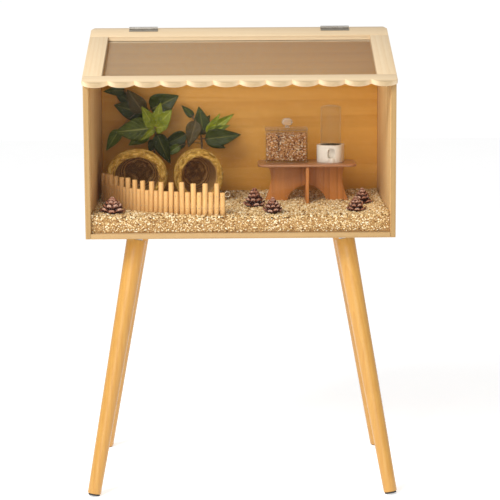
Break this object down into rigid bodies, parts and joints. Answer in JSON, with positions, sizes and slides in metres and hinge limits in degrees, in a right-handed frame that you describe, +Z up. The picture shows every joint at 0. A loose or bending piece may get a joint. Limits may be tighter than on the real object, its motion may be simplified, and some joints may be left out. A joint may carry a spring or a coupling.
{
  "type": "hamster cage",
  "caption": "Wooden pet cage on four splayed legs, with a clear front pane, a hinged mesh lid with a scalloped edge, bedding, nests, fence, platform, feeder and bottle.",
  "frame": {"origin": "on the ground under the middle of the case", "axes": "+Z up, -Y out of the clear front, +X to the right seen from the front"},
  "size_m": [0.6102, 0.394, 0.9086],
  "materials": {
    "back_panel": "clear varnish",
    "bedding": "loose wood pellets",
    "bottle_base": "satin",
    "bottle_tube": "clear, polished",
    "dowel_left_front": "clear varnish",
    "dowel_left_rear": "clear varnish",
    "dowel_right_front": "clear varnish",
    "dowel_right_rear": "clear varnish",
    "feeder_box": "clear, polished",
    "feeder_divider": "clear, polished",
    "feeder_food": "rough grain mix",
    "feeder_knob": "clear, polished",
    "feeder_lid": "clear, polished",
    "fence": "bare sticks on wire",
    "floor_panel": "clear varnish",
    "foot_pad_back_left": "matt",
    "foot_pad_back_right": "matt",
    "foot_pad_front_left": "matt",
    "foot_pad_front_right": "matt",
    "front_pane": "clear, polished",
    "hanger_bolt_back_left": "zinc plated",
    "hanger_bolt_back_right": "zinc plated",
    "hanger_bolt_front_left": "zinc plated",
    "hanger_bolt_front_right": "zinc plated",
    "hinge_left_case_leaf": "brushed",
    "hinge_left_lid_leaf": "brushed",
    "hinge_left_pin": "brushed",
    "hinge_right_case_leaf": "brushed",
    "hinge_right_lid_leaf": "brushed",
    "hinge_right_pin": "brushed",
    "leg_back_left": "clear honey lacquer",
    "leg_back_right": "clear honey lacquer",
    "leg_front_left": "clear honey lacquer",
    "leg_front_right": "clear honey lacquer",
    "leg_plate_back_left": "zinc plated",
    "leg_plate_back_right": "zinc plated",
    "leg_plate_front_left": "zinc plated",
    "leg_plate_front_right": "zinc plated",
    "lid_mesh": "fine woven wire, matt",
    "lid_rail_front": "pale, unvarnished",
    "lid_rail_rear": "pale, unvarnished",
    "lid_stile_left": "pale, unvarnished",
    "lid_stile_right": "pale, unvarnished",
    "mesh_bead": "pale, unvarnished",
    "nest_left": "plaited straw",
    "nest_right": "plaited straw",
    "pine_cone_1": "dry scales",
    "pine_cone_2": "dry scales",
    "pine_cone_3": "dry scales",
    "pine_cone_4": "dry scales",
    "pine_cone_5": "dry scales",
    "platform_cross_support": "thin plywood, bare",
    "platform_long_support": "thin plywood, bare",
    "platform_top": "thin plywood, bare",
    "ridge_board": "pale, unvarnished",
    "side_panel_left": "clear varnish",
    "side_panel_right": "clear varnish",
    "vine_left": "printed cloth leaves",
    "vine_right": "printed cloth leaves"
  },
  "bodies": {
    "case": {"back_panel": "back_panel", "bedding": "bedding", "bottle_base": "bottle_base", "feeder_box": "feeder_box", "feeder_divider": "feeder_divider", "feeder_food": "feeder_food", "fence": "fence", "floor_panel": "floor_panel", "foot_pad_back_left": "foot_pad_back_left", "foot_pad_back_right": "foot_pad_back_right", "foot_pad_front_left": "foot_pad_front_left", "foot_pad_front_right": "foot_pad_front_right", "hanger_bolt_back_left": "hanger_bolt_back_left", "hanger_bolt_back_right": "hanger_bolt_back_right", "hanger_bolt_front_left": "hanger_bolt_front_left", "hanger_bolt_front_right": "hanger_bolt_front_right", "hinge_left_case_leaf": "hinge_left_case_leaf", "hinge_left_pin": "hinge_left_pin", "hinge_right_case_leaf": "hinge_right_case_leaf", "hinge_right_pin": "hinge_right_pin", "leg_back_left": "leg_back_left", "leg_back_right": "leg_back_right", "leg_front_left": "leg_front_left", "leg_front_right": "leg_front_right", "leg_plate_back_left": "leg_plate_back_left", "leg_plate_back_right": "leg_plate_back_right", "leg_plate_front_left": "leg_plate_front_left", "leg_plate_front_right": "leg_plate_front_right", "nest_left": "nest_left", "nest_right": "nest_right", "pine_cone_1": "pine_cone_1", "pine_cone_2": "pine_cone_2", "pine_cone_3": "pine_cone_3", "pine_cone_4": "pine_cone_4", "pine_cone_5": "pine_cone_5", "platform_cross_support": "platform_cross_support", "platform_long_support": "platform_long_support", "platform_top": "platform_top", "ridge_board": "ridge_board", "side_panel_left": "side_panel_left", "side_panel_right": "side_panel_right", "vine_left": "vine_left", "vine_right": "vine_right"},
    "lid": {"dowel_left_front": "dowel_left_front", "dowel_left_rear": "dowel_left_rear", "dowel_right_front": "dowel_right_front", "dowel_right_rear": "dowel_right_rear", "hinge_left_lid_leaf": "hinge_left_lid_leaf", "hinge_right_lid_leaf": "hinge_right_lid_leaf", "lid_mesh": "lid_mesh", "lid_rail_front": "lid_rail_front", "lid_rail_rear": "lid_rail_rear", "lid_stile_left": "lid_stile_left", "lid_stile_right": "lid_stile_right", "mesh_bead": "mesh_bead"},
    "front_pane": {"front_pane": "front_pane"},
    "feeder_lid": {"feeder_lid": "feeder_lid", "feeder_knob": "feeder_knob"},
    "bottle": {"bottle_tube": "bottle_tube"}
  },
  "joints": [
    {"name": "lid_hinge", "type": "hinge", "parent": "case", "child": "lid", "pos_m": [0, 0.08452, 0.906], "axis": [-1, 0, 0], "range_deg": [0, 195]},
    {"name": "pane_lift", "type": "slide", "parent": "case", "child": "front_pane", "axis": [0, 0, 1], "range_m": [0, 0.006]},
    {"name": "feeder_lid_lift", "type": "slide", "parent": "case", "child": "feeder_lid", "axis": [0, 0, 1], "range_m": [0, 0.05]},
    {"name": "bottle_lift", "type": "slide", "parent": "case", "child": "bottle", "axis": [0, 0, 1], "range_m": [0, 0.06]}
  ]
}
